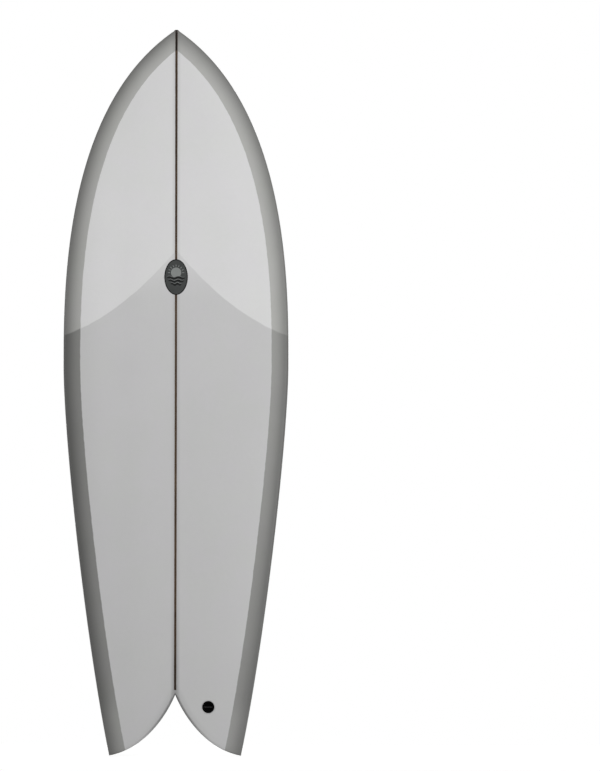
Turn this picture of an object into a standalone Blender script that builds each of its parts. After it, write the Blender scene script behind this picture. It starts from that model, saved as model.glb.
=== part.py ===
"""Twin-keel fish surfboard: foam blank with stringer, glass skins, two fin boxes and a leash plug.

Metres. Z runs up the board from its tail tips to its nose and X across it. The deck faces -Y and the
bottom +Y, so the rocker bends the nose and the tail toward -Y. Every layer of the board is the same
body, inset from the outer surface: the coats, the glass, the paper labels, then the foam.
"""

import math

import bmesh
import bpy
import numpy as np
from mathutils import Matrix, Vector

MM = 0.001
DECK, BOTTOM = -1, 1  # the side of the board, as the sign of its outward Y
LEFT, RIGHT = -1, 1  # the half of the board, as the sign of its X
FAR = 0.35  # beyond the board in any direction across it

# Plan shape: each rail is two Bezier curves that meet at the widest point
LENGTH = 1729 * MM  # to the point where the rails would meet, 2 mm past the blunt nose
TIP_HALF_WIDTH = 157 * MM
WIDEST_HALF_WIDTH = 268 * MM
WIDEST_HEIGHT = 930 * MM
TAIL_PULLS = (280 * MM, 168 * MM)  # at the tail tip, then at the widest point
NOSE_PULLS = (172 * MM, 327 * MM)  # at the widest point, then at the nose
TAIL_ANGLE = math.radians(11.8)  # between the rail and the stringer at the tail tip
NOSE_ANGLE = math.radians(56.5)  # the same at the nose
NOSE_BLUNT = 3 * MM  # half the width at which the nose is cut off square

# The swallow tail's notch, from its peak on the stringer out to one tail tip
NOTCH_CURVE = (
    (0, 145 * MM),
    (19 * MM, 98 * MM),
    (71 * MM, 16 * MM),
    (TIP_HALF_WIDTH, 0),
)

# Foil and rocker
THICKNESS = 64 * MM
THICKEST_HEIGHT = 950 * MM
NOSE_THICKNESS = 12 * MM
TAIL_THICKNESS = 20 * MM
NOSE_TAPER_POWER = 2  # how late the thickness falls away toward each end
TAIL_TAPER_POWER = 2.2
NOSE_LIFT = 100 * MM
TAIL_LIFT = 38 * MM
NOSE_LIFT_POWER = 2.6  # how late the rocker lifts toward each end
TAIL_LIFT_POWER = 2.2
RAIL_SHARE = 0.4  # the rail's edge is this share of the thickness above the bottom
DECK_POWER = 3.2  # a superellipse: the higher the power, the flatter the middle and the boxier the rail
BOTTOM_POWER = 7

# Insets of each layer's outer and inner face from the outside of the board
GAP = 0.3 * MM
STEP_GAP = 1.0 * MM  # beside a step in a layer, where the edge below it isn't straight
COAT = (0, 0.4 * MM)
PATCH = (0.7 * MM, 1.0 * MM)
DECK_GLASS = (1.3 * MM, 1.9 * MM)
BOTTOM_GLASS = (2.2 * MM, 2.8 * MM)
PAPER = (3.1 * MM, 3.3 * MM)
CORE = 3.6 * MM

# Laps and the patch's front edge
DECK_LAP = 40 * MM
BOTTOM_LAP = 47 * MM
NOTCH_LAP = 10 * MM  # height of the bottom's lap above the notch's peak
NOTCH_LAP_GROWTH = 0.31  # how much higher it gets for each metre out from the stringer
PATCH_PEAK = 1204 * MM
PATCH_SLOPE = 1.18  # fall of the patch's front edge beside its peak, for each metre out
PATCH_BEND = 1.57  # how that slope eases toward the rail, for each metre out squared

# Middle of the blank
STRINGER_HALF = 2.0 * MM
GLUE_HALF = (STRINGER_HALF + GAP, STRINGER_HALF + GAP + 0.5 * MM)

# Fin boxes, each in its own frame: X toward the nose, Z out of the board, origin on the surface
BOX_PLACE = (152 * MM, 247 * MM)
BOX_TOE = math.radians(0.8)  # the front ends lean toward the stringer
BOX_FLANGE = (153 * MM, 33 * MM, 3 * MM)
BOX_BODY = (141 * MM, 21 * MM, 13.8 * MM)
BOX_EDGE = 0.6 * MM
SLOT = (114 * MM, 7 * MM, 12 * MM)
SLOT_OFFSET = -4 * MM
BED_WALL = 2.4 * MM
BED_DEPTH = 1.5 * MM
SCREW_START = 64 * MM
SCREW_TILT = math.radians(50)
SCREW_SUNK = 3.5 * MM
SCREW_LENGTH = 8 * MM
SCREW_RADIUS = 2.4 * MM
SCREW_KEY = 1.4 * MM
SCREW_KEY_DEPTH = 3 * MM
HOLE_DEPTH = 15 * MM

# Leash plug, in a frame of the same kind
PLUG_PLACE = (79 * MM, 116 * MM)
PLUG_FLANGE = (14.5 * MM, 2.5 * MM)
PLUG_BODY = (12.9 * MM, 16 * MM)
PLUG_MOUTH = 10.6 * MM
PLUG_FLOOR = (9.0 * MM, 13 * MM)
PLUG_BED = (15.8 * MM, 18.3 * MM)
PIN_RADIUS = 1.6 * MM
PIN_HALF = 11.9 * MM
PIN_SUNK = 3.9 * MM

HOLE_REACH = 12 * MM  # in and out from the surface, of each hole through the skins

# Paper labels under the glass: middle across and up the board, then width and height
DECK_LABEL = (0, 1140 * MM, 56 * MM, 85 * MM)
BOTTOM_LABEL = (-56 * MM, 971 * MM, 103 * MM, 148 * MM)

ROWS = 16
EVEN_ROWS = 0.35  # the rows' even share of the length. The rest brings them together at the nose
COLUMNS = 6
CURVE_STEPS = 160
ROUND_STEPS = 24


for old in list(bpy.data.objects):
    bpy.data.objects.remove(old)


# ---------------------------------------------------------------- shape of the board


def bezier(a, b, c, d):
    """Points along a cubic Bezier curve, as one array for each coordinate."""
    t = np.linspace(0, 1, CURVE_STEPS)[:, None]
    a, b, c, d = (np.array(point, float) for point in (a, b, c, d))
    curve = (1 - t) ** 3 * a + 3 * (1 - t) ** 2 * t * b + 3 * (1 - t) * t**2 * c + t**3 * d
    return curve[:, 0], curve[:, 1]


def rail_curve():
    """Half-width and height along the right rail, from the tail tip to the nose."""
    tip = (TIP_HALF_WIDTH, 0)
    widest = (WIDEST_HALF_WIDTH, WIDEST_HEIGHT)
    nose = (0, LENGTH)
    out, into = TAIL_PULLS
    leave_tip = (tip[0] + out * math.sin(TAIL_ANGLE), out * math.cos(TAIL_ANGLE))
    tail_x, tail_z = bezier(tip, leave_tip, (widest[0], widest[1] - into), widest)
    out, into = NOSE_PULLS
    reach_nose = (into * math.sin(NOSE_ANGLE), LENGTH - into * math.cos(NOSE_ANGLE))
    nose_x, nose_z = bezier(widest, (widest[0], widest[1] + out), reach_nose, nose)
    return np.append(tail_x, nose_x[1:]), np.append(tail_z, nose_z[1:])


RAIL_X, RAIL_Z = rail_curve()
NOTCH_X, NOTCH_Z = bezier(*NOTCH_CURVE)


def inset_rail(inset):
    """The rail's curve, moved in by an even distance."""
    dx, dz = np.gradient(RAIL_X), np.gradient(RAIL_Z)
    size = np.hypot(dx, dz)
    return RAIL_X - inset * dz / size, RAIL_Z + inset * dx / size


def half_width(z, inset=0):
    """Half the board's width at a height, for the body inset by that much."""
    x, heights = inset_rail(inset)
    return float(np.interp(z, heights, x))


def notch_height(x, inset=0):
    """Height of the notch's edge at a distance from the stringer."""
    slope = np.gradient(NOTCH_Z) / np.gradient(NOTCH_X)
    return float(np.interp(x, NOTCH_X, NOTCH_Z + inset * np.hypot(1, slope)))


def tail_tip(inset):
    """Where the inset rail meets the inset notch."""
    x = TIP_HALF_WIDTH
    for _ in range(8):
        z = notch_height(x, inset)
        x = half_width(z, inset)
    return x, z


def nose_end(inset):
    """Height at which the inset body has come down to the blunt nose's width."""
    x, heights = inset_rail(inset)
    ahead = heights > WIDEST_HEIGHT
    return float(np.interp(-NOSE_BLUNT, -x[ahead], heights[ahead]))


def along(z):
    """How far a height is from the thickest point to the nose or to the tail, from 0 to 1."""
    if z > THICKEST_HEIGHT:
        return (z - THICKEST_HEIGHT) / (LENGTH - THICKEST_HEIGHT)
    return (THICKEST_HEIGHT - z) / THICKEST_HEIGHT


def thickness(z):
    """Thickness of the board on its stringer."""
    if z > THICKEST_HEIGHT:
        return THICKNESS - (THICKNESS - NOSE_THICKNESS) * along(z) ** NOSE_TAPER_POWER
    return THICKNESS - (THICKNESS - TAIL_THICKNESS) * along(z) ** TAIL_TAPER_POWER


def rail_line(z):
    """Y of the rail's edge: the bottom's rocker, and a share of the thickness above it."""
    if z > THICKEST_HEIGHT:
        lift = NOSE_LIFT * along(z) ** NOSE_LIFT_POWER
    else:
        lift = TAIL_LIFT * along(z) ** TAIL_LIFT_POWER
    return THICKNESS / 2 - lift - RAIL_SHARE * thickness(z)


def surface_y(side, x, z, inset=0):
    """Y of one side of the inset body."""
    across = min(abs(x) / half_width(z, inset), 1)
    share, power = (1 - RAIL_SHARE, DECK_POWER) if side == DECK else (RAIL_SHARE, BOTTOM_POWER)
    return rail_line(z) + side * (share * thickness(z) - inset) * math.sqrt(1 - across**power)


def surface_frame(side, x, z, toe=0):
    """A frame on the outer surface: X along the board toward the nose, turned by toe, and Z outward."""
    step = 5 * MM
    point = Vector((x, surface_y(side, x, z), z))
    up = Vector((0, surface_y(side, x, z + step) - surface_y(side, x, z - step), 2 * step))
    right = Vector((2 * step, surface_y(side, x + step, z) - surface_y(side, x - step, z), 0))
    out = up.cross(right).normalized()
    if out.y * side < 0:
        out.negate()
    ahead = Matrix.Rotation(toe, 3, out) @ up.normalized()
    frame = Matrix((ahead, out.cross(ahead), out)).transposed().to_4x4()
    frame.translation = point
    return frame


# ---------------------------------------------------------------- building blocks


def material(name, colour, roughness, metallic=0.0):
    """A material for one piece. The colour is linear red, green and blue."""
    made = bpy.data.materials.new(name)
    made.use_nodes = True
    shader = made.node_tree.nodes["Principled BSDF"]
    shader.inputs["Base Color"].default_value = (*colour, 1)
    shader.inputs["Roughness"].default_value = roughness
    shader.inputs["Metallic"].default_value = metallic
    return made


def add_object(name, bm, frame=None, look=None):
    """An object from a closed bmesh, with its faces turned out. One with no look is a cutter."""
    bmesh.ops.remove_doubles(bm, verts=bm.verts, dist=1e-6)
    bmesh.ops.recalc_face_normals(bm, faces=bm.faces)
    mesh = bpy.data.meshes.new(name)
    bm.to_mesh(mesh)
    bm.free()
    mesh.shade_smooth()
    mesh.set_sharp_from_angle(angle=math.radians(35))
    made = bpy.data.objects.new(name, mesh)
    bpy.context.scene.collection.objects.link(made)
    if frame is not None:
        made.matrix_world = frame
    if look is None:
        made.hide_render = True
        made.display_type = "WIRE"
    else:
        mesh.materials.append(look)
    return made


def loft(rings):
    """A closed solid through rings of points. Each ring has the same number of points."""
    bm = bmesh.new()
    rows = [[bm.verts.new(point) for point in ring] for ring in rings]
    count = len(rows[0])
    for low, high in zip(rows, rows[1:]):
        for i in range(count):
            j = (i + 1) % count
            bm.faces.new((low[i], low[j], high[j], high[i]))
    bm.faces.new(reversed(rows[0]))
    bm.faces.new(rows[-1])
    return bm


def circle(radius, z, steps=ROUND_STEPS, first=0):
    """A ring of points around Z. The first point is that many steps round from X."""
    angles = [2 * math.pi * (first + i) / steps for i in range(steps)]
    return [(radius * math.cos(angle), radius * math.sin(angle), z) for angle in angles]


def pill(length, width, z, offset=0, steps=7):
    """A ring of points round a slot's outline, with its long side along X."""
    radius = width / 2
    reach = length / 2 - radius
    ring = []
    for end, first in ((1, -math.pi / 2), (-1, math.pi / 2)):
        for i in range(steps + 1):
            angle = first + math.pi * i / steps
            ring.append((offset + end * reach + radius * math.cos(angle), radius * math.sin(angle), z))
    return ring


def slab(name, one, other):
    """A cutter for everything between two distances across the board."""
    low, high = sorted((one, other))
    outline = ((low, -FAR), (high, -FAR), (high, FAR), (low, FAR))
    return add_object(name, loft([[(x, y, z) for x, y in outline] for z in (-FAR, LENGTH + FAR)]))


def cut(target, cutter, operation="DIFFERENCE"):
    """Adds one Boolean to an object."""
    boolean = target.modifiers.new(cutter.name, "BOOLEAN")
    boolean.operation = operation
    boolean.solver = "EXACT"
    boolean.object = cutter


def body(name, inset, look=None):
    """The whole board, inset by an even distance.

    Each row of points is a ring round the board. The rows bend down toward the tail, and the first one
    follows the notch, so that a wall between its deck and bottom points closes the tail.
    """
    tip_x, tip_z = tail_tip(inset)
    end_z = nose_end(inset)
    shares = [1 - (1 - i / COLUMNS) ** 2 for i in range(COLUMNS + 1)]  # closest together at the rail
    across = [-share for share in reversed(shares[1:])] + shares
    bm = bmesh.new()
    rows = []
    for i in range(ROWS + 1):
        s = i / ROWS
        up = EVEN_ROWS * s + (1 - EVEN_ROWS) * math.sin(s * math.pi / 2)
        rail_z = tip_z + (end_z - tip_z) * up
        rail_x = half_width(rail_z, inset) if i else tip_x
        sides = {}
        for side in (DECK, BOTTOM):
            sides[side] = []
            for share in across:
                if side == BOTTOM and abs(share) == 1:
                    sides[side].append(sides[DECK][0 if share < 0 else -1])
                    continue
                rise = (notch_height(abs(share) * tip_x, inset) - tip_z) * (1 - s) ** 3
                x, z = share * rail_x, rail_z + rise
                y = rail_line(z) if abs(share) == 1 else surface_y(side, x, z, inset)
                sides[side].append(bm.verts.new((x, y, z)))
        rows.append(sides)
    last = len(across) - 1
    for low, high in zip(rows, rows[1:]):
        for side in (DECK, BOTTOM):
            for j in range(last):
                a, b = low[side][j], low[side][j + 1]
                c, d = high[side][j + 1], high[side][j]
                if j < COLUMNS:
                    faces = ((a, b, d), (b, c, d))
                else:
                    faces = ((a, b, c), (a, c, d))
                for face in faces:
                    bm.faces.new(face)
    tail = rows[0]
    for j in range(last):
        corners = [tail[DECK][j], tail[DECK][j + 1], tail[BOTTOM][j + 1], tail[BOTTOM][j]]
        bm.faces.new(list(dict.fromkeys(corners)))
    nose = rows[-1]
    bm.faces.new(nose[DECK] + nose[BOTTOM][-2:0:-1])
    return add_object(name, bm, look=look)


def ladder(name, stations, side, start=0):
    """A cutter that reaches from the rail line out past one side of the board.

    Each station is (height, low x, high x). start moves its inner face off the rail line, outward.
    """
    rings = []
    for z, low, high in stations:
        inner, outer = rail_line(min(max(z, 0), LENGTH)) + side * start, side * FAR
        rings.append([(low, inner, z), (high, inner, z), (high, outer, z), (low, outer, z)])
    return add_object(name, loft(rings))


def heights(low, high, count):
    """Even steps between two heights."""
    return [low + (high - low) * i / count for i in range(count + 1)]


def half_board(name, side, start):
    """A cutter for everything on one side of the rail line."""
    return ladder(name, [(z, -FAR, FAR) for z in heights(-20 * MM, LENGTH + 20 * MM, 30)], side, start)


def lap_peak(lap):
    """Height at which the two laps meet ahead of the open panel."""
    x, z = inset_rail(lap)
    ahead = z > WIDEST_HEIGHT
    return float(np.interp(0, -x[ahead], z[ahead]))


def panel_sides(lap, foot):
    """(height, half-width) inside a pair of laps, from a foot up to where the laps meet."""
    top = lap_peak(lap)
    shoulder = 0.8 * top
    places = heights(foot, shoulder, 9) + heights(shoulder, top, 9)[1:-1]
    return [(z, half_width(z, lap)) for z in places] + [(top, 0.5 * MM)]


def deck_panel(name, shrink=0):
    """The deck inside the bottom glass's laps. It is open at the tail."""
    lap = DECK_LAP + shrink
    sides = [(-20 * MM, half_width(0, lap)), *panel_sides(lap, 0)]
    return ladder(name, [(z, -x, x) for z, x in sides], DECK, start=shrink)


def bottom_panel(name, half, shrink=0):
    """Half of the bottom inside the deck glass's laps. At its foot, the lap along the notch bounds it."""
    lap = BOTTOM_LAP + shrink
    edge_x = [x * MM for x in range(0, 116, 5)]
    edge_z = [notch_height(x) + NOTCH_LAP + NOTCH_LAP_GROWTH * x + shrink for x in edge_x]
    foot, peak = edge_z[-1], edge_z[0]
    stations = []
    for z in heights(foot, peak, 7):
        inner = float(np.interp(-z, [-edge for edge in edge_z], edge_x))
        stations.append((z, inner, half_width(z, lap)))
    past_middle = shrink - 2 * MM  # the two halves overlap on the stringer
    stations += [(z, past_middle, x) for z, x in panel_sides(lap, peak + MM)]
    return ladder(name, [(z, half * low, half * high) for z, low, high in stations], BOTTOM)


def patch_edge(x):
    """Height of the patch's front edge."""
    return PATCH_PEAK - PATCH_SLOPE * abs(x) + PATCH_BEND * x**2


def ahead_of_patch(name, shift):
    """A cutter for everything ahead of the patch's front edge."""
    places = (0, 0.02, 0.06, 0.12, 0.2, 0.28, 0.36)
    outline = [(-x, patch_edge(x) + shift) for x in reversed(places[1:])]
    outline += [(x, patch_edge(x) + shift) for x in places]
    outline += [(places[-1], LENGTH + FAR), (-places[-1], LENGTH + FAR)]
    return add_object(name, loft([[(x, y, z) for x, z in outline] for y in (-FAR, FAR)]))


# ---------------------------------------------------------------- cutters shared by the layers

box_frames = {}
box_holes = []
for half in (LEFT, RIGHT):
    x, z = BOX_PLACE
    box_frames[half] = surface_frame(BOTTOM, half * x, z, -half * BOX_TOE)
    length, width, _ = BOX_FLANGE
    rings = [pill(length + 2 * GAP, width + 2 * GAP, z) for z in (-HOLE_REACH, HOLE_REACH)]
    box_holes.append(add_object(f"box_hole_{half}", loft(rings), box_frames[half]))

plug_frame = surface_frame(DECK, *PLUG_PLACE)
rings = [circle(PLUG_FLANGE[0] + GAP, z) for z in (-HOLE_REACH, HOLE_REACH)]
plug_hole = add_object("plug_hole", loft(rings), plug_frame)


def filled_inside(name, near, deep, regions):
    """The inside of a layer that is thin over its neighbour and thicker in some regions."""
    inside = body(f"{name}_near", near)
    for region in regions:
        cut(inside, region)
    cut(inside, body(f"{name}_deep", deep), "UNION")
    inside.name = f"{name}_inside"
    return inside


# ---------------------------------------------------------------- blank

foam = material("white polyurethane foam", (0.83, 0.82, 0.76), 0.85)
timber = material("red cedar", (0.16, 0.06, 0.03), 0.6)
glue = material("dark glue", (0.09, 0.03, 0.02), 0.5)

for half, word in ((LEFT, "left"), (RIGHT, "right")):
    blank = body(f"foam_half_{word}", CORE, foam)
    cut(blank, slab(f"keep_foam_{word}", half * (GLUE_HALF[1] + GAP), half * FAR), "INTERSECT")
    length, width, depth = BOX_BODY
    grow = 2 * (BED_WALL + 2 * GAP)
    floor = depth + GAP + BED_DEPTH + GAP
    pocket = loft([pill(length + grow, width + grow, z) for z in (-floor, HOLE_REACH)])
    cut(blank, add_object(f"box_pocket_{word}", pocket, box_frames[half]))
    if half == RIGHT:
        radius, depth = PLUG_BED
        pocket = loft([circle(radius + GAP, z) for z in (-depth - GAP, HOLE_REACH)])
        cut(blank, add_object("plug_pocket", pocket, plug_frame))

    glue_line = body(f"glue_line_{word}", CORE, glue)
    cut(glue_line, slab(f"keep_glue_{word}", half * GLUE_HALF[0], half * GLUE_HALF[1]), "INTERSECT")

stringer = body("stringer", CORE, timber)
cut(stringer, slab("keep_stringer", -STRINGER_HALF, STRINGER_HALF), "INTERSECT")


# ---------------------------------------------------------------- glass and coats

glass = material("grey tinted glass", (0.35, 0.35, 0.33), 0.35)
deck_glass = material("clear deck glass", (0.55, 0.55, 0.54), 0.35)
patch_glass = material("tinted patch glass", (0.45, 0.45, 0.43), 0.35)
resin = material("clear filler resin", (0.6, 0.6, 0.58), 0.4)

bottom_laminate = body("bottom_laminate", BOTTOM_GLASS[0], glass)
cut(bottom_laminate, body("bottom_glass_inside", BOTTOM_GLASS[1]))
cut(bottom_laminate, deck_panel("deck_panel"))
for hole in box_holes:
    cut(bottom_laminate, hole)

deck_laminate = body("deck_laminate", DECK_GLASS[0], deck_glass)
inner_panel = deck_panel("deck_panel_filled", STEP_GAP)
cut(deck_laminate, filled_inside("deck_glass", DECK_GLASS[1], PAPER[0] - GAP, [inner_panel]))
for half in (LEFT, RIGHT):
    cut(deck_laminate, bottom_panel(f"bottom_panel_{half}", half))
for hole in [*box_holes, plug_hole]:
    cut(deck_laminate, hole)

deck_patch = body("deck_patch", PATCH[0], patch_glass)
cut(deck_patch, body("patch_inside", PATCH[1]))
cut(deck_patch, half_board("below_patch", BOTTOM, -3 * MM))
cut(deck_patch, ahead_of_patch("ahead_of_patch", 0))
cut(deck_patch, plug_hole)

deck_coat = body("deck_sanding_coat", COAT[0], resin)
front = ahead_of_patch("filled_front", STEP_GAP)
cut(deck_coat, filled_inside("deck_coat", COAT[1], PATCH[1], [front]))
cut(deck_coat, half_board("below_deck_coat", BOTTOM, -GAP / 2))
cut(deck_coat, plug_hole)

bottom_coat = body("bottom_sanding_coat", COAT[0], resin)
halves = [bottom_panel(f"bottom_panel_filled_{half}", half, STEP_GAP) for half in (LEFT, RIGHT)]
cut(bottom_coat, filled_inside("bottom_coat", PATCH[1], DECK_GLASS[1], halves))
cut(bottom_coat, half_board("above_bottom_coat", DECK, -GAP / 2))
for hole in box_holes:
    cut(bottom_coat, hole)


# ---------------------------------------------------------------- paper labels

paper = material("printed paper", (0.25, 0.25, 0.25), 0.6)
dark_paper = material("dark printed paper", (0.015, 0.01, 0.016), 0.6)


def label(name, look, side, place, oval):
    """A thin sheet under the glass, cut from a layer of the board by its outline."""
    x, z, width, height = place
    corners = ((-1, -1), (1, -1), (1, 1), (-1, 1))
    outline = [(a, b) for a, b, _ in circle(1, 0, first=0.5)] if oval else corners
    ring = [(x + width / 2 * a, z + height / 2 * b) for a, b in outline]
    faces = (rail_line(z), side * FAR)
    sheet = add_object(name, loft([[(a, y, b) for a, b in ring] for y in faces]), look=look)
    cut(sheet, body(f"{name}_outside", PAPER[0]), "INTERSECT")
    cut(sheet, body(f"{name}_inside", PAPER[1]))


label("deck_decal", paper, DECK, DECK_LABEL, oval=True)
label("bottom_decal", dark_paper, BOTTOM, BOTTOM_LABEL, oval=False)


# ---------------------------------------------------------------- fin boxes

black = material("black moulded plastic", (0.006, 0.006, 0.006), 0.5)
potting = material("potting resin", (0.5, 0.5, 0.45), 0.5)
steel = material("stainless steel", (0.6, 0.6, 0.6), 0.3, 1.0)


def screw_frame(half):
    """The lock screw's frame: Z runs out along the screw, and its origin is on the box's top face."""
    start = Matrix.Translation((SCREW_START, 0, 0))
    return box_frames[half] @ start @ Matrix.Rotation(SCREW_TILT, 4, "Y")


for half, word in ((LEFT, "left"), (RIGHT, "right")):
    frame = box_frames[half]
    length, width, lip = BOX_FLANGE
    inner_length, inner_width, depth = BOX_BODY
    rings = [
        pill(inner_length, inner_width, -depth),
        pill(inner_length, inner_width, -lip),
        pill(length, width, -lip),
        pill(length, width, -BOX_EDGE),
        pill(length - 2 * BOX_EDGE, width - 2 * BOX_EDGE, 0),
    ]
    box = add_object(f"fin_box_{word}", loft(rings), frame, black)
    length, width, deep = SLOT
    slot = loft([pill(length, width, z, SLOT_OFFSET) for z in (-deep, 5 * MM)])
    cut(box, add_object(f"slot_{word}", slot, frame))
    hole = loft([circle(SCREW_RADIUS + GAP, z, 16) for z in (-HOLE_DEPTH, 8 * MM)])
    cut(box, add_object(f"screw_hole_{word}", hole, screw_frame(half)))

    wall = 2 * (GAP + BED_WALL)
    floor = depth + GAP
    top = -(CORE + 1 * MM)
    rings = [
        pill(inner_length + wall, inner_width + wall, -floor - BED_DEPTH),
        pill(inner_length + wall, inner_width + wall, top),
        pill(inner_length + 2 * GAP, inner_width + 2 * GAP, top),
        pill(inner_length + 2 * GAP, inner_width + 2 * GAP, -floor),
    ]
    add_object(f"fin_box_bed_{word}", loft(rings), frame, potting)

    head = -SCREW_SUNK
    rings = [
        circle(SCREW_RADIUS - 0.6 * MM, head - SCREW_LENGTH, 12),
        circle(SCREW_RADIUS, head - SCREW_LENGTH + 0.8 * MM, 12),
        circle(SCREW_RADIUS, head - 0.3 * MM, 12),
        circle(SCREW_RADIUS - 0.3 * MM, head, 12),
        circle(SCREW_KEY, head, 12),
        circle(SCREW_KEY, head - SCREW_KEY_DEPTH, 12),
    ]
    add_object(f"fin_screw_{word}", loft(rings), screw_frame(half), steel)


# ---------------------------------------------------------------- leash plug

flange_radius, flange_depth = PLUG_FLANGE
body_radius, body_depth = PLUG_BODY
floor_radius, floor_depth = PLUG_FLOOR
rings = [
    circle(body_radius, -body_depth),
    circle(body_radius, -flange_depth),
    circle(flange_radius, -flange_depth),
    circle(flange_radius, -0.5 * MM),
    circle(flange_radius - 0.5 * MM, 0),
    circle(PLUG_MOUTH + 0.5 * MM, 0),
    circle(PLUG_MOUTH, -0.5 * MM),
    circle(floor_radius, -floor_depth),
]
cup = add_object("leash_plug_cup", loft(rings), plug_frame, black)
across_board = Matrix.Translation((0, 0, -PIN_SUNK)) @ Matrix.Rotation(math.pi / 2, 4, "X")
pin_hole = loft([circle(PIN_RADIUS + GAP, z, 16) for z in (-PIN_HALF - GAP, PIN_HALF + GAP)])
cut(cup, add_object("pin_hole", pin_hole, plug_frame @ across_board))
pin = loft([circle(PIN_RADIUS, z, 16) for z in (-PIN_HALF, PIN_HALF)])
add_object("leash_plug_bar", pin, plug_frame @ across_board, steel)

bed_radius, bed_depth = PLUG_BED
rings = [
    circle(bed_radius, -bed_depth),
    circle(bed_radius, -(CORE + 1 * MM)),
    circle(body_radius + GAP, -(CORE + 1 * MM)),
    circle(body_radius + GAP, -body_depth - GAP),
]
add_object("leash_plug_bed", loft(rings), plug_frame, potting)
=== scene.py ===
"""Looks of the twin-keel fish surfboard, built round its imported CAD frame.

Metres, in the frame's axes: Z runs up the board from its tail tips to its nose, X across it, and the
deck faces -Y. The two skins repeat the board's own curves at a finer step than the CAD solids do, and
stand for their glass and coats. Every other piece sits in the place of the CAD node that it replaces.
"""

import math

import bmesh
import bpy
import numpy as np
from mathutils import Matrix, Vector

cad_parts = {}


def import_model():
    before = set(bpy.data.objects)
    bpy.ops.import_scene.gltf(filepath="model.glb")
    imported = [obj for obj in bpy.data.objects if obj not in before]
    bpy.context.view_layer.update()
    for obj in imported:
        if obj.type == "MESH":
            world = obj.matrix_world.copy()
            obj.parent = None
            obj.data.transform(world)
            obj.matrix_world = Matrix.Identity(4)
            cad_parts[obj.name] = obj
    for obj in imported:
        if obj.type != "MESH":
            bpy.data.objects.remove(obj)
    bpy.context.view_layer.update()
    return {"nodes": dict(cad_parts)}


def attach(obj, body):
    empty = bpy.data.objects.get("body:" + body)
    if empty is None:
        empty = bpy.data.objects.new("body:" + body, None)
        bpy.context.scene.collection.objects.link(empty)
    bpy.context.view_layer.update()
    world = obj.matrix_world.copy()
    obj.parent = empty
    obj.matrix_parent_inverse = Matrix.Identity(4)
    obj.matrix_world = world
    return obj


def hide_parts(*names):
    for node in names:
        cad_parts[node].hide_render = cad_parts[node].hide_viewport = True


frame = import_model()

MM = 0.001
DECK, BOTTOM = -1, 1  # the side of the board, as the sign of its outward Y
HALVES = ((-1, "left"), (1, "right"))  # the sign of a half's X, and its name

# Plan shape: each rail is two Bezier curves that meet at the widest point
LENGTH = 1729 * MM
TIP_HALF_WIDTH = 157 * MM
WIDEST_HALF_WIDTH = 268 * MM
WIDEST_HEIGHT = 930 * MM
TAIL_PULLS = (280 * MM, 168 * MM)
NOSE_PULLS = (172 * MM, 327 * MM)
TAIL_ANGLE = math.radians(11.8)
NOSE_ANGLE = math.radians(56.5)
NOTCH_CURVE = ((0, 145 * MM), (19 * MM, 98 * MM), (71 * MM, 16 * MM), (TIP_HALF_WIDTH, 0))

# Foil and rocker
THICKNESS = 64 * MM
THICKEST_HEIGHT = 950 * MM
NOSE_THICKNESS = 12 * MM
TAIL_THICKNESS = 20 * MM
NOSE_TAPER_POWER = 2
TAIL_TAPER_POWER = 2.2
NOSE_LIFT = 100 * MM
TAIL_LIFT = 38 * MM
NOSE_LIFT_POWER = 2.6
TAIL_LIFT_POWER = 2.2
RAIL_SHARE = 0.4  # share of the thickness on the bottom's side of the rail's edge
DECK_FULLNESS = 3.2
BOTTOM_FULLNESS = 7
# Each side's share of the thickness, and the power of its superellipse across the board
SECTION = {DECK: (1 - RAIL_SHARE, DECK_FULLNESS), BOTTOM: (RAIL_SHARE, BOTTOM_FULLNESS)}

# Skins
ROWS = 240
EVEN_ROWS = 0.35  # the rest of the rows' spacing crowds toward the nose
COLUMNS = 48  # from the stringer to each rail
NOSE_BLUNT = 6 * MM  # half the width at which the round nose cap starts
NOSE_CAP = 3 * MM
CAP_STEPS = 8
SHELL = 0.8 * MM
NOTCH_ROUND = {DECK: 3 * MM, BOTTOM: 1.6 * MM}
ROUND_SHARE = 0.35  # the most of the notch's wall that one edge's rounding takes
ROUND_STEPS = 5
WALL_STEPS = 6
SET_BACK_REACH = 0.06  # share of the rows over which the notch's rounding fades out
JOIN = 0.001 * MM  # points closer than this are one point

# Laps, patch and labels
DECK_LAP = 40 * MM
BOTTOM_LAP = 47 * MM
LAP_EDGE = 0.8 * MM  # half the width of the soft step at a lap's edge
NOTCH_LAP = 10 * MM
NOTCH_LAP_GROWTH = 0.31
NOTCH_LAP_SLANT = 1.25  # a height above the notch's lap, over the distance square to its edge
LAP_CORNER = 9 * MM
PATCH_PEAK = 1204 * MM
PATCH_SLOPE = 1.18
PATCH_BEND = 1.57
PATCH_EDGE = 2.2 * MM
DECK_LABEL = (0, 1140 * MM, 56 * MM, 85 * MM)  # middle across and up the board, width and height
BOTTOM_LABEL = (-56 * MM, 971 * MM, 103 * MM, 148 * MM)
LABEL_LIFT = 0.22 * MM
INK_LIFT = 0.05 * MM
INLAY_DEPTH = 0.3 * MM

# Stringer
STRINGER_HALF = 2.0 * MM
GLUE_OUT = 2.8 * MM
STRINGER_FOOT = 156 * MM
STRINGER_LIFT = 0.12 * MM
FOOT_STEPS = 8
STRIP_ROWS = 239
STRIP_COLUMNS = 4

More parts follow.
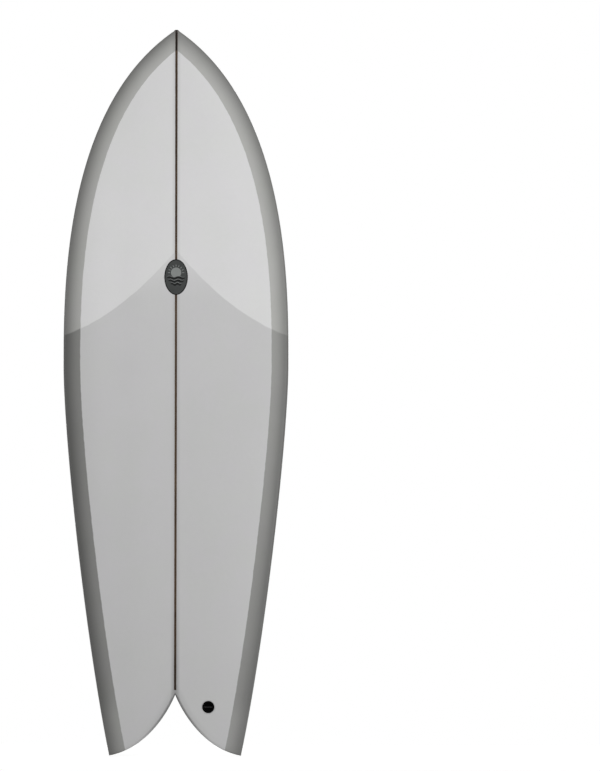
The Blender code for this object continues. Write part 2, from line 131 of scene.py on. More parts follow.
# Fin boxes, in their own frames: X toward the nose, Z out of the board
BOX_PLACE = (152 * MM, 247 * MM)
BOX_TOE = math.radians(0.8)
BOX_FLANGE = (153 * MM, 33 * MM, 3 * MM)  # length, width and thickness
BOX_BODY = (141 * MM, 21 * MM, 13.8 * MM)  # length, width and depth
BOX_EDGE = 0.8 * MM
SLOT = (114 * MM, 7 * MM, 12 * MM)  # length, width and depth
SLOT_OFFSET = -4 * MM
SLOT_EDGE = 0.5 * MM
SLOT_CUTTER_RISE = 5 * MM
SCREW_START = 64 * MM
SCREW_TILT = math.radians(50)
SCREW_SUNK = 3.5 * MM
SCREW_LENGTH = 8 * MM
SCREW_RADIUS = 2.4 * MM
SCREW_KEY = 1.4 * MM
SCREW_KEY_DEPTH = 3 * MM
SCREW_GAP = 0.3 * MM
SCREW_STEPS = 36
HEAD_EDGE = 0.15 * MM
TIP_EDGE = (0.4 * MM, 0.5 * MM)  # inset and height
THREAD_PITCH = 0.8 * MM
THREAD_DEPTH = 0.3 * MM
THREAD_STEPS = 8  # rings in one pitch
THREAD_END = 0.35 * MM  # below the head's face
HOLE_DEPTH = 15 * MM
HOLE_STEPS = 40

# Leash plug, in a frame of the same kind
PLUG_PLACE = (79 * MM, 116 * MM)
PLUG_FLANGE = (14.5 * MM, 2.5 * MM)  # radius and thickness
PLUG_BODY = (12.9 * MM, 16 * MM)  # radius and depth
PLUG_MOUTH = 10.6 * MM
PLUG_FLOOR = (9.0 * MM, 13 * MM)  # radius and depth
PLUG_EDGE = 0.6 * MM
CUP_CURVE = ((1 * MM, 1.5 * MM), (0.3 * MM, 0.3 * MM), (-1 * MM, 0))  # out from the radius, and up
PIN_RADIUS = 1.6 * MM
PIN_HALF = 11.9 * MM
PIN_SUNK = 3.9 * MM
PIN_GAP = 0.3 * MM
PIN_EDGE = 0.4 * MM
PIN_STEPS = 32
PIN_EDGE_STEPS = 4

# Holes in the skins: the gap round a fitting, and how far a cutter reaches
HOLE_GAP = 0.15 * MM
HOLE_REACH = 8 * MM


# -------- shape of the board


def bezier(a, b, c, d, steps=900):
    """Points along a cubic Bezier curve, as one array for each coordinate."""
    t = np.linspace(0, 1, steps)[:, None]
    a, b, c, d = (np.array(point, float) for point in (a, b, c, d))
    curve = (1 - t) ** 3 * a + 3 * (1 - t) ** 2 * t * b + 3 * (1 - t) * t**2 * c + t**3 * d
    return curve[:, 0], curve[:, 1]


def rail_curve():
    """Half-width and height along the right rail, from the tail tip to the nose."""
    tip = (TIP_HALF_WIDTH, 0)
    widest = (WIDEST_HALF_WIDTH, WIDEST_HEIGHT)
    out, into = TAIL_PULLS
    leave_tip = (tip[0] + out * math.sin(TAIL_ANGLE), out * math.cos(TAIL_ANGLE))
    tail_x, tail_z = bezier(tip, leave_tip, (widest[0], widest[1] - into), widest)
    out, into = NOSE_PULLS
    reach_nose = (into * math.sin(NOSE_ANGLE), LENGTH - into * math.cos(NOSE_ANGLE))
    nose_x, nose_z = bezier(widest, (widest[0], widest[1] + out), reach_nose, (0, LENGTH))
    return np.append(tail_x, nose_x[1:]), np.append(tail_z, nose_z[1:])


RAIL_X, RAIL_Z = rail_curve()
NOTCH_X, NOTCH_Z = bezier(*NOTCH_CURVE)
AHEAD = RAIL_Z > WIDEST_HEIGHT
NOSE_END = float(np.interp(-NOSE_BLUNT, -RAIL_X[AHEAD], RAIL_Z[AHEAD]))


def half_width(z):
    """Half the board's width at some heights."""
    return np.interp(z, RAIL_Z, RAIL_X)


def notch_height(x):
    """Height of the notch's edge at some distances from the stringer."""
    return np.interp(x, NOTCH_X, NOTCH_Z)


def by_end(z, nose, tail):
    """A share that grows from 0 at the thickest point to 1 at an end, raised to that end's power."""
    ahead = np.clip((z - THICKEST_HEIGHT) / (LENGTH - THICKEST_HEIGHT), 0, None)
    behind = np.clip((THICKEST_HEIGHT - z) / THICKEST_HEIGHT, 0, None)
    return nose[0] * ahead ** nose[1] + tail[0] * behind ** tail[1]


def thickness(z):
    """Thickness of the board on its stringer."""
    nose_loss = (THICKNESS - NOSE_THICKNESS, NOSE_TAPER_POWER)
    tail_loss = (THICKNESS - TAIL_THICKNESS, TAIL_TAPER_POWER)
    return THICKNESS - by_end(z, nose_loss, tail_loss)


def rail_line(z):
    """Y of the rail's edge."""
    lift = by_end(z, (NOSE_LIFT, NOSE_LIFT_POWER), (TAIL_LIFT, TAIL_LIFT_POWER))
    return THICKNESS / 2 - lift - RAIL_SHARE * thickness(z)


def surface_y(side, x, z):
    """Y of one side of the board."""
    share, power = SECTION[side]
    across = np.minimum(np.abs(x) / half_width(z), 1)
    return rail_line(z) + side * share * thickness(z) * np.sqrt(1 - across**power)


def outward(side, points):
    """How far points are outside one side, and that side's unit normals there."""
    share, power = SECTION[side]

    def field(p):
        depth = (p[:, 1] - rail_line(p[:, 2])) / (share * thickness(p[:, 2]))
        return depth**2 + (np.abs(p[:, 0]) / half_width(p[:, 2])) ** power - 1

    step = 0.5 * MM
    slope = np.empty_like(points)
    for axis in range(3):
        shift = np.zeros(3)
        shift[axis] = step
        slope[:, axis] = (field(points + shift) - field(points - shift)) / (2 * step)
    size = np.linalg.norm(slope, axis=1)
    return field(points) / size, slope / size[:, None]


def surface_frame(side, x, z, toe=0):
    """A frame on the surface: X along the board toward the nose, turned by toe, and Z outward."""
    step = 5 * MM
    up = Vector((0, surface_y(side, x, z + step) - surface_y(side, x, z - step), 2 * step))
    right = Vector((2 * step, surface_y(side, x + step, z) - surface_y(side, x - step, z), 0))
    out = up.cross(right).normalized()
    if out.y * side < 0:
        out.negate()
    ahead = Matrix.Rotation(toe, 3, out) @ up.normalized()
    placed = Matrix((ahead, out.cross(ahead), out)).transposed().to_4x4()
    placed.translation = (x, surface_y(side, x, z), z)
    return placed


def distance_to(curve_x, curve_z, x, z, batch=4000):
    """Distance in plan from points to a curve and its mirror image, a batch at a time."""
    found = np.empty(len(x))
    for start in range(0, len(x), batch):
        part = slice(start, start + batch)
        dx = np.abs(x[part, None]) - curve_x[None, :]
        found[part] = np.sqrt((dx**2 + (z[part, None] - curve_z[None, :]) ** 2).min(axis=1))
    return found


def patch_edge(x):
    """Height of the front edge of the deck's extra layer of glass."""
    return PATCH_PEAK - PATCH_SLOPE * np.abs(x) + PATCH_BEND * x**2


# -------- materials


class Look:
    """One procedural material. Values are numbers or other nodes' outputs."""

    def __init__(self, name, **settings):
        self.material = bpy.data.materials.new(name)
        self.material.use_nodes = True
        self.tree = self.material.node_tree
        self.shader = self.tree.nodes["Principled BSDF"]
        names = {"ior": "IOR", "specular": "Specular IOR Level"}
        for key, value in settings.items():
            self.shader.inputs[names.get(key, key.title())].default_value = value
        self.place = self.tree.nodes.new("ShaderNodeTexCoord").outputs["Object"]

    def node(self, kind, output, inputs, **settings):
        """One output of a new node, with its properties set and its inputs fed."""
        made = self.tree.nodes.new("ShaderNode" + kind)
        for key, value in settings.items():
            setattr(made, key, value)
        for key, value in inputs.items():
            self.feed(made.inputs[key], value)
        return made.outputs[output]

    def feed(self, socket, value):
        """Links an output to a socket, or sets the socket's value."""
        if isinstance(value, bpy.types.NodeSocket):
            self.tree.links.new(value, socket)
        else:
            socket.default_value = value

    def maths(self, operation, *values):
        """The result of one arithmetic operation."""
        return self.node("Math", 0, dict(enumerate(values)), operation=operation)

    def attribute(self, name):
        """A distance that paint() stored on the mesh."""
        return self.node("Attribute", "Fac", {}, attribute_name=name)

    def along(self, axis):
        """The point's own X, Y or Z."""
        return self.node("SeparateXYZ", axis, {0: self.place})

    def noise(self, size, detail=3.0, stretch=(1, 1, 1), shift=0.0, roughness=0.5):
        """Smooth noise from about -1 to 1, in lumps of a size. A shift makes it another noise."""
        scale = [1 / (size * s) for s in stretch]
        inputs = {0: self.place, "Location": (shift, shift, shift), "Scale": scale}
        placed = self.node("Mapping", 0, inputs)
        inputs = {"Vector": placed, "Scale": 1.0, "Detail": detail, "Roughness": roughness}
        value = self.node("TexNoise", "Fac", inputs)
        return self.maths("MULTIPLY", self.maths("SUBTRACT", value, 0.5), 4.0)

    def fade(self, value, start, end, low=0.0, high=1.0):
        """A smooth step from low to high as a value goes from start to end."""
        inputs = {0: value, 1: start, 2: end, 3: low, 4: high}
        return self.node("MapRange", 0, inputs, interpolation_type="SMOOTHSTEP")

    def mix(self, factor, one, other, blend="MIX"):
        """A colour between two colours, or blended from them."""
        made = self.tree.nodes.new("ShaderNodeMix")
        made.data_type = "RGBA"
        made.blend_type = blend
        self.feed(made.inputs[0], factor)
        for socket, value in ((made.inputs[6], one), (made.inputs[7], other)):
            self.feed(socket, value if isinstance(value, bpy.types.NodeSocket) else (*value, 1))
        return made.outputs[2]

    def scaled(self, colour, factor):
        """A colour made lighter or darker by a factor."""
        grey = self.node("CombineColor", 0, {0: factor, 1: factor, 2: factor})
        return self.mix(1.0, colour, grey, blend="MULTIPLY")

    def moved(self, value, amount, noise):
        """A number plus an amount of noise."""
        return self.maths("MULTIPLY_ADD", noise, amount, value)

    def varied(self, colour, amount, noise):
        """A colour scaled by 1 plus an amount of noise."""
        return self.scaled(colour, self.moved(1.0, amount, noise))

    def tinted(self, colour, tint, share):
        """A colour multiplied by a tint, as far as the share goes from 0 to 1."""
        return self.varied(colour, tint - 1, share)

    def graded(self, colour, value, steps):
        """A colour with some tints, each coming in as a value goes from start to end."""
        for start, end, tint in steps:
            colour = self.scaled(colour, self.fade(value, start, end, 1.0, tint))
        return colour

    def finish(self, colour, roughness=None, bumps=()):
        """Feeds the shader. Each bump is a height and its depth, on top of the last."""
        self.feed(self.shader.inputs["Base Color"], colour)
        if roughness is not None:
            self.feed(self.shader.inputs["Roughness"], roughness)
        inputs = {"Strength": 1.0}
        for height, depth in bumps:
            inputs.update({"Height": height, "Distance": depth})
            inputs["Normal"] = self.node("Bump", 0, inputs)
            self.feed(self.shader.inputs["Normal"], inputs["Normal"])
        return self.material


# Colours are linear red, green and blue
DECK_PANEL = (0.787, 0.785, 0.79)
BOTTOM_PANEL = (0.66, 0.664, 0.64)
DECK_BAND = (0.49, 0.49, 0.475)
BOTTOM_BAND = (0.45, 0.455, 0.44)
# Painted shade on the rail's edge, where the surface turns away from the light
PAINTED_RAIL_SHADE = (0.22, 0.22, 0.212)
RAW_GLASS = (0.62, 0.62, 0.56)
FOAM = (0.83, 0.82, 0.76)
POTTING_RESIN = (0.50, 0.50, 0.44)
BLACK_PLASTIC = (0.0015, 0.0015, 0.0016)
STEEL = (0.56, 0.55, 0.53)
BLACK_STEEL = (0.012, 0.012, 0.013)

# Dark and light grain of the stringer and its glue, as each side's glass shows them
DECK_TIMBER = ((0.026, 0.014, 0.008), (0.100, 0.064, 0.038))
BOTTOM_TIMBER = ((0.10, 0.026, 0.004), (0.24, 0.072, 0.012))
DECK_GLUE = ((0.10, 0.055, 0.032), (0.19, 0.115, 0.070))
BOTTOM_GLUE = ((0.34, 0.10, 0.022), (0.54, 0.20, 0.05))

# A tint multiplies a colour, and heights are above the tail tips
PATCH_TINT = 0.80
PATCH_BAND_TINT = 0.72
PATCH_START = 0.45  # share of the patch's tints at its peak
PATCH_GROWTH = 130 * MM
# Painted light on the left of the deck's panel, and painted shade on the left band over the patch
LEFT_PLACES = (-100 * MM, -190 * MM)
LEFT_PANEL_PAINTED_LIGHT = 1.06
LEFT_BAND = (930 * MM, 250 * MM)
LEFT_BAND_PAINTED_SHADE = (-0.22, -0.06)
# Two heights, and the tint that comes in from the first to the second
BAND_ENDS = ((1000 * MM, 350 * MM, 0.84), (150 * MM, 80 * MM, 1.2))
TIMBER_ENDS = ((320 * MM, 210 * MM, 0.42), (1200 * MM, 1480 * MM, 0.75))
RESIN_HUES = ((0.994, 1.0, 0.987), (1.0, 0.996, 1.0))
STAIN = (0.98, 0.70, 0.55)
DECK_RAIL = (0.45, 40 * MM, 2.5 * MM)  # the rail's darkening (partly the laps' tint, partly painted shade), its reach, and the reach of PAINTED_RAIL_SHADE
BOTTOM_RAIL = (0.78, 16 * MM, 8 * MM)


def weave(look):
    """Height of the glass cloth's weave, along and across the board."""
    pitch = 1.4 * MM
    waver = 0.4 * MM
    threads = []
    for axis in ("X", "Z"):
        place = look.moved(look.along(axis), waver, look.noise(40 * MM))
        phase = look.maths("MULTIPLY", place, 2 * math.pi / pitch)
        threads.append(look.maths("SINE", phase))
    return look.maths("MULTIPLY", *threads)


def sanded(look, base):
    """Roughness of a hand-sanded coat: cloudy, with fine marks across the board."""
    clouds = look.noise(90 * MM, shift=3.0)
    marks = look.noise(1.2 * MM, detail=2.0, stretch=(14, 14, 1), shift=8.0)
    rough = look.moved(base, 0.035, clouds)
    return look.moved(rough, 0.02, marks)


def mottled(look, colour, amount):
    """A colour with the drift in shade and hue of tinted resin over foam."""
    colour = look.varied(colour, amount, look.noise(110 * MM, detail=4.0))
    colour = look.varied(colour, amount * 0.6, look.noise(9 * MM, shift=5.0))
    hue = look.fade(look.noise(60 * MM, shift=11.0), -0.8, 0.8)
    return look.mix(1.0, colour, look.mix(hue, *RESIN_HUES), blend="MULTIPLY")


def lap_tone(look, inside, band, rail_tint_and_shade, rail_reach, edge_shade_reach):
    """The open panel's colour inside the laps, and the laps' outside, darker toward the rail: partly
    their own tint, and partly painted shade where the rail turns away from the light.

    Deck and bottom come to one painted shade on the rail's edge, where their skins meet.
    """
    wobble = look.noise(14 * MM, detail=2.0, shift=2.0)
    lap = look.moved(look.attribute("panel"), 0.5 * MM, wobble)
    inside_lap = look.fade(lap, -LAP_EDGE, LAP_EDGE)
    # Darker toward the rail: partly the laps' own tint, partly painted shade
    rail = look.fade(look.attribute("edge"), -4 * MM, rail_reach, rail_tint_and_shade, 1.0)
    clouds = look.noise(34 * MM, stretch=(1, 1, 2.2), shift=21.0)
    # Painted shade on the rail's edge, where deck and bottom meet
    seam = look.fade(look.attribute("edge"), 0.3 * MM, edge_shade_reach, 1.0, 0.0)
    band = look.mix(seam, look.scaled(band, rail), PAINTED_RAIL_SHADE)
    band = look.varied(band, 0.022, clouds)
    return look.mix(inside_lap, band, inside), inside_lap


def deck_look():
    """Sanded glass on the deck: open panel, rail bands, and the patch behind the chevron."""
    look = Look("sanded deck glass", specular=0.35, ior=1.5)
    height = look.along("Z")
    across = look.maths("ABSOLUTE", look.along("X"))

    # The patch is faint at its peak
    wobble = look.noise(25 * MM, detail=2.0, shift=7.0)
    patch = look.moved(look.attribute("patch"), 1.0 * MM, wobble)
    patch = look.fade(patch, -PATCH_EDGE, PATCH_EDGE)
    strength = look.fade(height, PATCH_PEAK, PATCH_PEAK - PATCH_GROWTH, PATCH_START, 1.0)
    patch = look.maths("MULTIPLY", patch, strength)
    panel = look.tinted(DECK_PANEL, PATCH_TINT, patch)
    band = look.tinted(DECK_BAND, PATCH_BAND_TINT, patch)

    # The bands darken toward the tail, and are lighter again at its tips
    band = look.graded(band, height, BAND_ENDS)

    # Painted light and shade: on the left the panel is a little lighter, and the band on the patch a
    # little darker
    left = look.fade(look.along("X"), *LEFT_PLACES)
    panel = look.tinted(panel, LEFT_PANEL_PAINTED_LIGHT, left)
    left_band_shade = look.fade(height, *LEFT_BAND, *LEFT_BAND_PAINTED_SHADE)
    left_band_shade = look.maths("MULTIPLY", left_band_shade, look.maths("MULTIPLY", left, patch))
    band = look.scaled(band, look.maths("ADD", left_band_shade, 1.0))
    tone, inside = lap_tone(look, panel, band, *DECK_RAIL)

    # Painted shade of the rounded notch edge: a dark line and a softer shade follow the notch, strongest
    # near the stringer
    near_peak = look.fade(across, 25 * MM, 95 * MM, 1.0, 0.15)
    for start, end, tint in ((2.5 * MM, 7.5 * MM, 0.42), (4 * MM, 22 * MM, 0.87)):
        notch_shade = look.fade(look.attribute("notch"), start, end, 1.0, 0.0)
        tone = look.tinted(tone, tint, look.maths("MULTIPLY", notch_shade, near_peak))

    # Darker round the plug, and beside the stringer, most of all toward the tail
    tone = look.scaled(tone, look.fade(look.attribute("fitting"), 0.5 * MM, 5 * MM, 0.82, 1.0))
    toward_tail = look.fade(height, 450 * MM, 150 * MM, 0.87, 0.66)
    tone = look.scaled(tone, look.fade(across, GLUE_OUT, GLUE_OUT + 10 * MM, toward_tail, 1.0))
    tone = mottled(look, tone, 0.012)
    cloth = weave(look)
    tone = look.varied(tone, 0.006, cloth)
    bumps = [(inside, -0.03 * MM), (patch, 0.02 * MM), (cloth, 0.004 * MM)]
    return look.finish(tone, sanded(look, 0.42), bumps)


def bottom_look():
    """Sanded glass on the bottom: open panel and rail bands, stained beside the stringer."""
    look = Look("sanded bottom glass", specular=0.35, ior=1.5)
    tone, inside = lap_tone(look, BOTTOM_PANEL, BOTTOM_BAND, *BOTTOM_RAIL)
    tone = look.scaled(tone, look.fade(look.attribute("fitting"), 0.3 * MM, 3 * MM, 0.86, 1.0))
    across = look.maths("ABSOLUTE", look.along("X"))
    stain = look.fade(across, GLUE_OUT, GLUE_OUT + 5 * MM, 0.9, 0.0)
    tone = look.mix(stain, tone, look.mix(1.0, tone, STAIN, blend="MULTIPLY"))
    tone = mottled(look, tone, 0.016)
    cloth = weave(look)
    tone = look.varied(tone, 0.006, cloth)
    bumps = [(inside, -0.03 * MM), (cloth, 0.004 * MM)]
    return look.finish(tone, sanded(look, 0.40), bumps)


def inside_glass_look():
    """The skins' inner faces and the walls of their holes."""
    look = Look("raw glass and foam", specular=0.2)
    tone = look.varied(RAW_GLASS, 0.05, look.noise(6 * MM))
    return look.finish(tone, look.moved(0.7, 0.05, look.noise(3 * MM)))


def foam_look():
    """The blank's foam, with its fine cells."""
    look = Look("white polyurethane foam", specular=0.15)
    cells = look.noise(0.9 * MM, detail=2.0)
    tone = look.varied(FOAM, 0.03, cells)
    tone = look.varied(tone, 0.02, look.noise(60 * MM, shift=4.0))
    return look.finish(tone, look.moved(0.88, 0.03, cells), [(cells, 0.08 * MM)])


def timber_look(name, shades, lap_tint):
    """Timber: grain along the board, darker under the laps and at both ends."""
    look = Look(name, specular=0.15, ior=1.5)
    grain = look.noise(0.5 * MM, detail=4.0, stretch=(1, 1, 90), roughness=0.65)
    figure = look.noise(30 * MM, stretch=(1, 1, 3), shift=9.0)
    streak = look.fade(look.moved(grain, 0.7, figure), -1.1, 1.1)
    specks = look.noise(0.3 * MM, detail=1.0, stretch=(1, 1, 16), shift=15.0)
    tone = look.scaled(look.mix(streak, *shades), look.fade(specks, 0.6, 1.0, 1.0, 0.7))
    tone = look.scaled(tone, look.fade(look.attribute("panel"), -LAP_EDGE, LAP_EDGE, lap_tint, 1.0))
    tone = look.graded(tone, look.along("Z"), TIMBER_ENDS)
    return look.finish(tone, sanded(look, 0.42), [(grain, 0.01 * MM)])


def paper_look(name, colour, fibre=0.05):
    """Printed paper under a sanded coat, with fine fibres."""
    look = Look(name, specular=0.06, ior=1.5)
    fibres = look.noise(0.7 * MM, detail=4.0, stretch=(2.5, 1, 1))
    tone = look.varied(colour, fibre, fibres)
    tone = look.varied(tone, 0.08, look.noise(18 * MM, shift=6.0))
    return look.finish(tone, sanded(look, 0.45), [(fibres, 0.01 * MM)])


def plastic_look():
    """Moulded plastic of the fin boxes and the leash cup."""
    look = Look("black moulded plastic", specular=0.03, ior=1.49)
    grain = look.noise(0.5 * MM, detail=2.0)
    wear = look.noise(14 * MM, detail=5.0, shift=4.0)
    tone = look.varied(BLACK_PLASTIC, 0.3, wear)
    rough = look.moved(0.5, 0.05, wear)
    return look.finish(tone, look.moved(rough, 0.03, grain), [(grain, 0.03 * MM)])


def steel_look():
    """Turned steel of the lock screws."""
    look = Look("stainless steel", metallic=1.0)
    turned = look.noise(0.15 * MM, detail=2.0, stretch=(1, 30, 30))
    spots = look.noise(2.0 * MM, detail=4.0, shift=3.0)
    tone = look.varied(STEEL, 0.08, spots)
    rough = look.moved(0.30, 0.05, turned)
    return look.finish(tone, rough, [(turned, 0.004 * MM)])


def black_steel_look():
    """Blackened steel of the leash bar."""
    look = Look("blackened stainless steel", metallic=0.6, specular=0.3)
    spots = look.noise(1.5 * MM, detail=4.0)
    tone = look.varied(BLACK_STEEL, 0.3, spots)
    return look.finish(tone, look.moved(0.5, 0.06, spots), [(spots, 0.01 * MM)])


def potting_look():
    """Cloudy resin that beds the fin boxes and the leash cup."""
    look = Look("potting resin", specular=0.4)
    clouds = look.noise(8 * MM)
    tone = look.varied(POTTING_RESIN, 0.06, clouds)
    return look.finish(tone, look.moved(0.45, 0.05, clouds), [(clouds, 0.05 * MM)])


# -------- mesh tools


def linked(name, data):
    """A new object in the scene."""
    made = bpy.data.objects.new(name, data)
    bpy.context.scene.collection.objects.link(made)
    return made


def mesh_of(name, bm):
    """A new mesh from a bmesh, which is used up."""
    mesh = bpy.data.meshes.new(name)
    bm.to_mesh(mesh)
    bm.free()
    return mesh


def values_of(items, name, width=1, kind=float):
    """One property of a mesh's points, corners or faces, as an array."""
    found = np.empty(len(items) * width, kind)
    items.foreach_get(name, found)
    return found if width == 1 else found.reshape(-1, width)


def piece(name, mesh, replaces, body="board"):
    """An object that rides on a body and stands for CAD nodes."""
    made = linked(name, mesh)
    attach(made, body)
    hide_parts(*replaces)
    return made


def scratch_object(name, bm, slots=0):
    """A temporary object from a bmesh, with some empty material slots."""
    made = linked(name, mesh_of(name, bm))
    for _ in range(slots):
        made.data.materials.append(None)
    return made


def cut_mesh(name, target, cutters, steps=()):
    """The target's mesh after some modifiers, each a type and its settings, and its cuts."""
    steps = list(steps)
    for cutter in cutters:
        steps.append(("BOOLEAN", {"object": cutter, "operation": "DIFFERENCE", "solver": "EXACT"}))
    for kind, settings in steps:
        modifier = target.modifiers.new(kind, kind)
        for key, value in settings.items():
            setattr(modifier, key, value)
    graph = bpy.context.evaluated_depsgraph_get()
    mesh = bpy.data.meshes.new_from_object(target.evaluated_get(graph))
    mesh.name = name
    for used in [target, *cutters]:
        bpy.data.objects.remove(used)
    return mesh


def loft(rings, placed, slot=0):
    """A closed bmesh through rings of as many points each, in a frame of its own."""
    bm = bmesh.new()
    rows = [[bm.verts.new(point) for point in ring] for ring in rings]
    count = len(rows[0])
    for low, high in zip(rows, rows[1:]):
        for i in range(count):
            j = (i + 1) % count
            bm.faces.new((low[i], low[j], high[j], high[i]))
    bm.faces.new(reversed(rows[0]))
    bm.faces.new(rows[-1])
    bmesh.ops.recalc_face_normals(bm, faces=bm.faces)
    for face in bm.faces:
        face.material_index = slot
        face.smooth = True
    bmesh.ops.transform(bm, matrix=placed, verts=bm.verts)
    return bm


def circle(radius, z, steps=64):
    """A ring of points round Z. Its radius is a number or a function of the angle."""
    ring = []
    for i in range(steps):
        angle = 2 * math.pi * i / steps
        size = radius(angle) if callable(radius) else radius
        ring.append((size * math.cos(angle), size * math.sin(angle), z))
    return ring


def pill(size, z, out=0, offset=0, steps=20):
    """A ring of points round a slot, moved outward, with its long side along X."""
    radius = size[1] / 2 + out
    reach = (size[0] - size[1]) / 2
    ring = []
    for end, first in ((1, -math.pi / 2), (-1, math.pi / 2)):
        for i in range(steps + 1):
            angle = first + math.pi * i / steps
            ring.append((offset + end * reach + radius * math.cos(angle), radius * math.sin(angle), z))
    return ring


def quarter(steps):
    """The angles of a quarter turn in even steps."""
    return np.linspace(0, math.pi / 2, steps + 1)


def rounded(outline, edge, steps=5):
    """Rings round a quarter circle, from a wall to a flat top. The outline takes (inset, z)."""
    rings = []
    for turn in quarter(steps):
        rings.append(outline(edge * (1 - math.cos(turn)), -edge * (1 - math.sin(turn))))
    return rings


def dress(mesh, *looks, sharp=35):
    """Gives a mesh its materials, and edges that are sharp above an angle in degrees."""
    for i, look in enumerate(looks):
        if i < len(mesh.materials):
            mesh.materials[i] = look
        else:
            mesh.materials.append(look)
    mesh.shade_smooth()
    mesh.set_sharp_from_angle(angle=math.radians(sharp))
    return mesh


# -------- skins


def notch_columns():
    """Each column's share of the half-width and inward direction at the notch."""
    steps = np.arange(COLUMNS + 1) / COLUMNS
    half = 1 - (1 - steps) ** 2  # closer together toward the rail
    shares = np.concatenate([-half[:0:-1], half])
    x = np.abs(shares) * TIP_HALF_WIDTH
    slope = np.interp(x, NOTCH_X, np.gradient(NOTCH_Z) / np.gradient(NOTCH_X))
    size = np.hypot(1, slope)
    inward = np.stack([np.sign(shares) * -slope / size, 1 / size], axis=1)
    inward[COLUMNS] = (0, size[COLUMNS])  # on the stringer, where the notch's two sides meet
    return shares, inward


def skin_grid(side):
    """Points of one skin's outer face, by row and column, from the notch to the nose."""
    shares, inward = notch_columns()
    notch_x = shares * TIP_HALF_WIDTH
    notch_z = notch_height(np.abs(notch_x))
    wall = surface_y(BOTTOM, notch_x, notch_z) - surface_y(DECK, notch_x, notch_z)
    rounds = {way: np.minimum(radius, ROUND_SHARE * wall) for way, radius in NOTCH_ROUND.items()}
    set_back = {way: size[:, None] * inward for way, size in rounds.items()}
    back = set_back[side]

    s = (np.arange(ROWS + 1) / ROWS)[:, None]
    rail_z = NOSE_END * (EVEN_ROWS * s + (1 - EVEN_ROWS) * np.sin(s * math.pi / 2))
    fading = np.clip(1 - s / SET_BACK_REACH, 0, 1) ** 2
    z = rail_z + notch_z * (1 - s) ** 3 + back[:, 1] * fading
    x = half_width(rail_z) * shares + back[:, 0] * fading
    y = surface_y(side, x, z)
    y[:, [0, -1]] = rail_line(z[:, [0, -1]])
    main = np.stack([x, y, z], axis=2)

    edge_rows = []
    for turn in quarter(ROUND_STEPS)[1:]:
        plan = np.stack([x[0], z[0]], axis=1) - back * math.sin(turn)
        deep = y[0] - side * rounds[side] * (1 - math.cos(turn))
        edge_rows.append(np.stack([plan[:, 0], deep, plan[:, 1]], axis=1))
    if side == DECK:
        far_x, far_z = set_back[BOTTOM].T
        seam = surface_y(BOTTOM, notch_x + far_x, notch_z + far_z) - rounds[BOTTOM]
        start = edge_rows[-1]
        for step in np.linspace(0, 1, WALL_STEPS + 1)[1:]:
            row = start.copy()
            row[:, 1] += (seam - start[:, 1]) * step
            edge_rows.append(row)
    cap_rows = []
    middle = rail_line(NOSE_END)
    for turn in quarter(CAP_STEPS)[1:]:
        row = main[-1].copy()
        row[:, 0] *= math.cos(turn)
        row[:, 1] = middle + (row[:, 1] - middle) * math.cos(turn)
        row[:, 2] = NOSE_END + NOSE_CAP * math.sin(turn)
        cap_rows.append(row)
    return np.concatenate([np.array(edge_rows[::-1]), main, np.array(cap_rows)])


def grid_mesh(grid, flip):
    """A bmesh through a grid of points, with coinciding points joined."""
    rows, columns = grid.shape[:2]
    bm = bmesh.new()
    verts = [bm.verts.new(point) for point in grid.reshape(-1, 3)]
    for i in range(rows - 1):
        for j in range(columns - 1):
            a = i * columns + j
            corners = [verts[a], verts[a + 1], verts[a + 1 + columns], verts[a + columns]]
            face = bm.faces.new(reversed(corners) if flip else corners)
            face.smooth = True
    bmesh.ops.remove_doubles(bm, verts=bm.verts, dist=JOIN)
    return bm


def set_smooth_normals(mesh, side):
    """Gives the outer face the board's own normals, so that no seam shows."""
    near = 0.1 * MM
    least_agreement = 0.8
    corner = values_of(mesh.loops, "vertex_index", kind=np.int32)
    corners = values_of(mesh.polygons, "loop_total", kind=np.int32)
    material = values_of(mesh.polygons, "material_index", kind=np.int32)
    facing = values_of(mesh.polygons, "normal", 3)
    points = values_of(mesh.vertices, "co", 3)
    outside, normals = outward(side, points)
    on_surface = (np.abs(outside) < near) & (points[:, 2] <= NOSE_END)
    agreement = (np.repeat(facing, corners, axis=0) * normals[corner]).sum(axis=1)
    on_outer_face = np.repeat(material, corners) == 0
    use = on_surface[corner] & (agreement > least_agreement) & on_outer_face
    custom = np.where(use[:, None], normals[corner], 0.0)
    mesh.normals_split_custom_set(custom.tolist())


def paint(mesh, side=None):
    """Stores, at each point, its distances from the edges that the materials follow.

    Without a side, each point takes the distances of the side that it is on.
    """
    x, y, z = values_of(mesh.vertices, "co", 3).T
    across = np.abs(x)
    on_deck = y < rail_line(z) if side is None else side == DECK
    edge = distance_to(RAIL_X, RAIL_Z, x, z)
    notch_lap = z - notch_height(across) - NOTCH_LAP - NOTCH_LAP_GROWTH * across
    notch_lap = np.where(across < TIP_HALF_WIDTH, notch_lap, LENGTH) / NOTCH_LAP_SLANT
    bottom_panel = smooth_least(edge - BOTTOM_LAP, notch_lap, LAP_CORNER)
    plug = np.hypot(x - PLUG_PLACE[0], z - PLUG_PLACE[1]) - PLUG_FLANGE[0]
    box_radius = BOX_FLANGE[1] / 2
    past_middle = np.abs(z - BOX_PLACE[1]) - (BOX_FLANGE[0] / 2 - box_radius)
    boxes = np.hypot(across - BOX_PLACE[0], np.maximum(past_middle, 0)) - box_radius
    values = {
        "edge": edge,
        "notch": distance_to(NOTCH_X, NOTCH_Z, x, z),
        "panel": np.where(on_deck, edge - DECK_LAP, bottom_panel),
        "fitting": np.where(on_deck, plug, boxes),
        "patch": patch_edge(x) - z,
    }
    for name, value in values.items():
        made = mesh.attributes.new(name, "FLOAT", "POINT")
        made.data.foreach_set("value", value.astype(np.float32))


def smooth_least(a, b, radius):
    """The smaller of two distances, with a round corner where they are equal."""
    blend = np.clip(0.5 + (b - a) / (2 * radius), 0, 1)
    return b + (a - b) * blend - radius * blend * (1 - blend)


